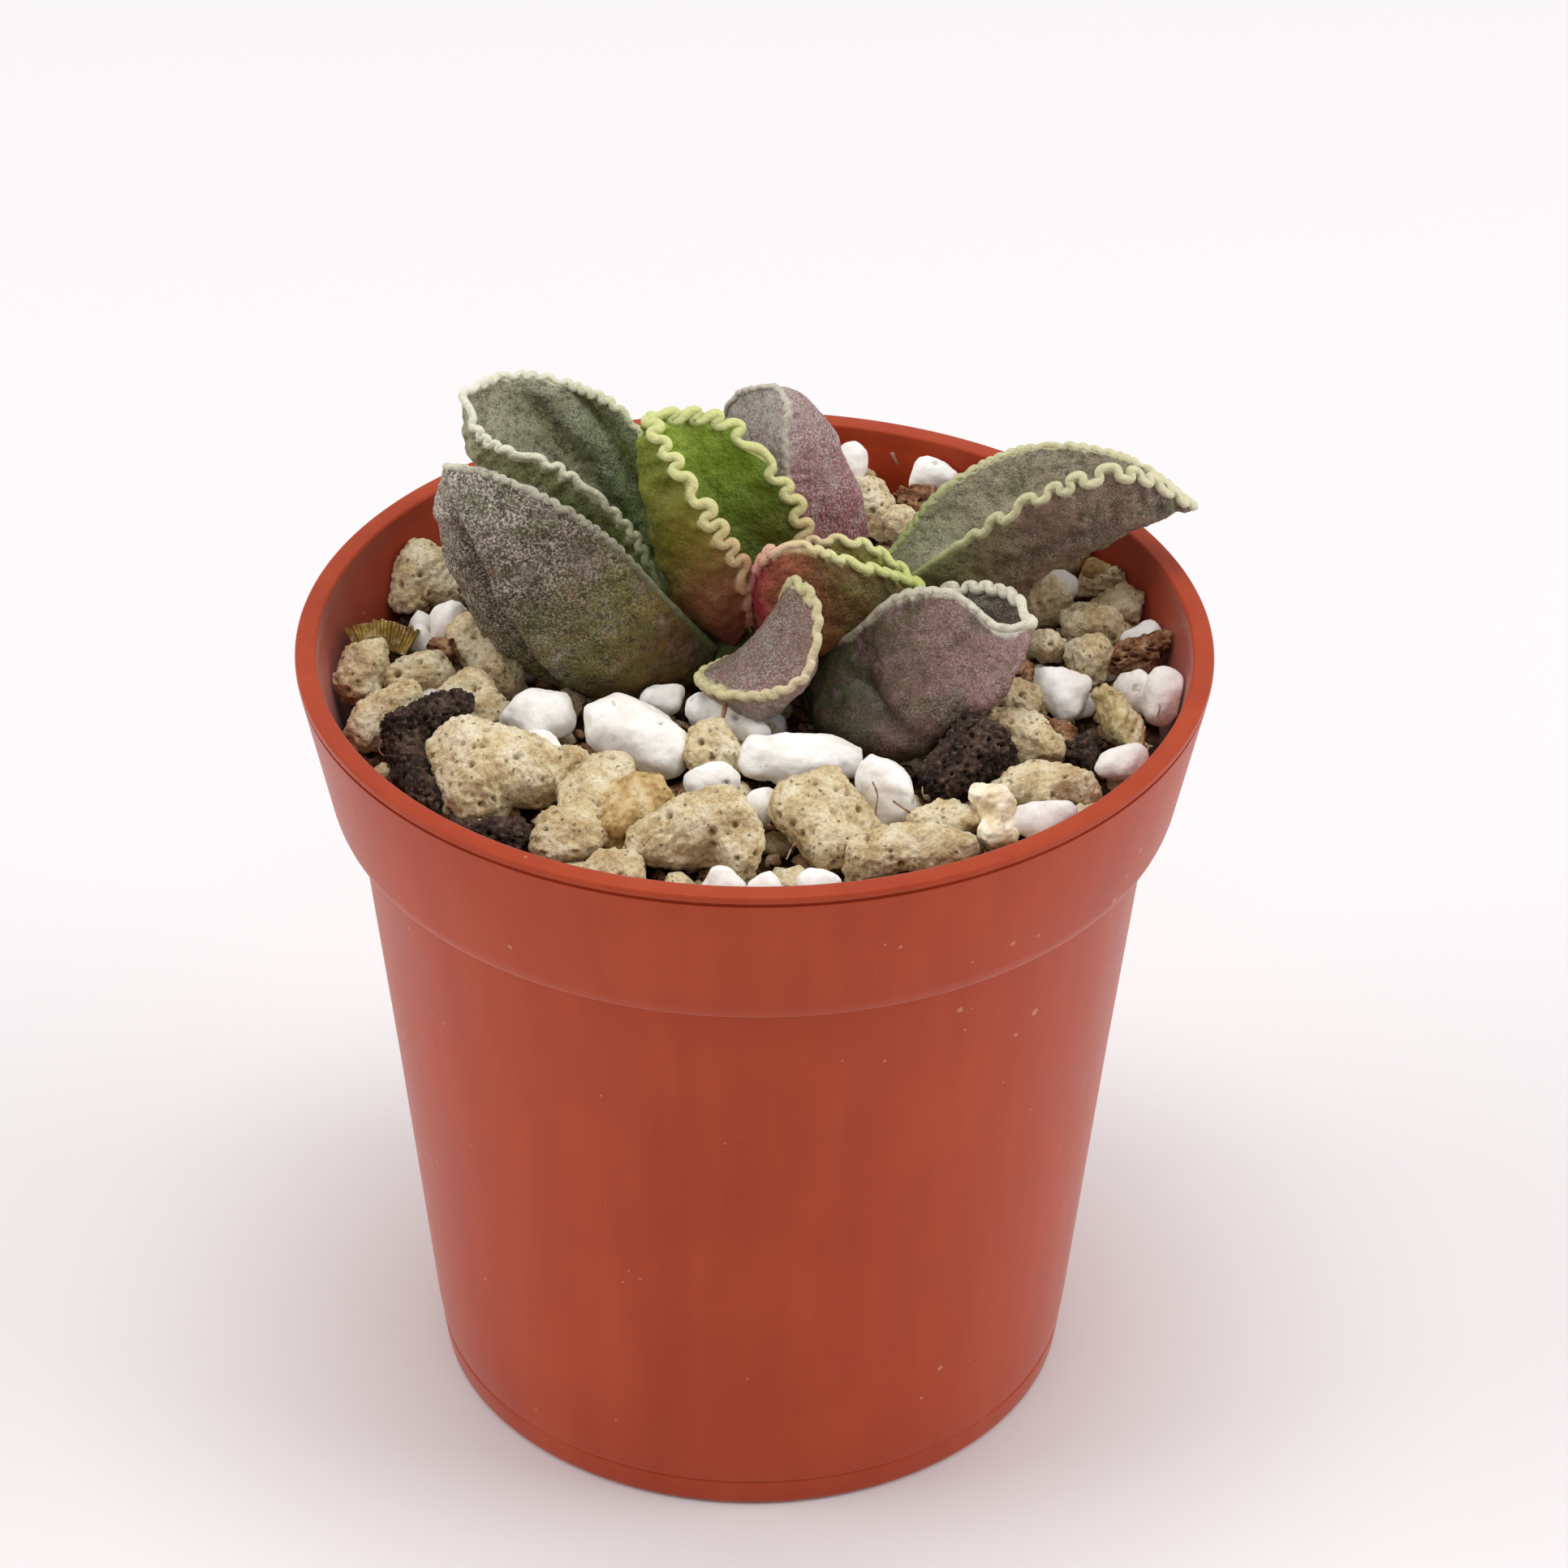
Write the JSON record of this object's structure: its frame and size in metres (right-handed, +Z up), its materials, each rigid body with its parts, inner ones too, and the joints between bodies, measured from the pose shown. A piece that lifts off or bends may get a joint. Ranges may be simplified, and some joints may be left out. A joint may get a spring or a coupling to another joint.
{
  "type": "potted adromischus marianiae",
  "caption": "Small succulent with folded, crimp-edged grey, green and purple leaves on a short stem, standing in loose gritty mix in a round stepped-collar nursery pot.",
  "frame": {"origin": "centre of the pot's flat base, on the surface that the pot stands on", "axes": "+Z up along the pot's axis, -Y towards the viewer of the picture, +X to the viewer's right"},
  "size_m": [0.055, 0.055, 0.0617],
  "materials": {
    "terracotta_plastic": "matte",
    "mix": "matte",
    "stem": "matte",
    "leaf_green": "matte",
    "leaf_red": "matte",
    "leaf_pink": "matte",
    "leaf_purple": "matte",
    "leaf_grey": "matte",
    "leaf_grey_green": "matte",
    "leaf_mauve": "matte",
    "leaf_pink_grey": "matte",
    "pumice": "matte",
    "ochre_pumice": "matte",
    "perlite": "matte",
    "lava": "matte",
    "bark": "matte",
    "husk": "matte",
    "golden_flake": "satin"
  },
  "bodies": {
    "root": {"pot": "terracotta_plastic", "mix": "mix", "stem": "stem", "leaf_centre": "leaf_green", "leaf_centre_right": "leaf_red", "leaf_small_front": "leaf_pink", "leaf_front_right": "leaf_purple", "leaf_left_front": "leaf_grey", "leaf_left_back": "leaf_grey_green", "leaf_right": "leaf_mauve", "leaf_back": "leaf_pink_grey", "pumice_large_left": "pumice", "pumice_large_front": "pumice", "pumice_front_right": "pumice", "pumice_long_front": "pumice", "pumice_long_right": "pumice", "pumice_between": "pumice", "pumice_left_upper": "pumice", "pumice_left_leaning": "pumice", "pumice_left_wall": "pumice", "pumice_left_middle": "pumice", "pumice_left_slab": "pumice", "pumice_left_edge": "pumice", "pumice_front_left": "pumice", "pumice_front_low": "pumice", "pumice_front_chip": "pumice", "pumice_right_back": "pumice", "pumice_right_upper": "pumice", "pumice_right_slab": "pumice", "pumice_right_wedge": "pumice", "pumice_right_small": "pumice", "pumice_right_far": "pumice", "pumice_wall_right": "pumice", "pumice_under_leaf": "pumice", "pumice_back": "pumice", "pumice_ochre": "ochre_pumice", "perlite_large": "perlite", "perlite_long_front": "perlite", "perlite_left": "perlite", "perlite_chip_left": "perlite", "perlite_chip_centre": "perlite", "perlite_under_leaf": "perlite", "perlite_front_chip": "perlite", "perlite_front_round": "perlite", "perlite_front_rim": "perlite", "perlite_right_rim": "perlite", "perlite_right": "perlite", "perlite_right_egg": "perlite", "perlite_wall_egg": "perlite", "perlite_twin": "perlite", "perlite_back": "perlite", "perlite_back_right": "perlite", "lava_left": "lava", "lava_right": "lava", "lava_chip": "lava", "bark_crumb": "bark", "bark_slab": "bark", "bark_back": "bark", "husk_front": "husk", "flake_golden": "golden_flake"}
  },
  "joints": []
}
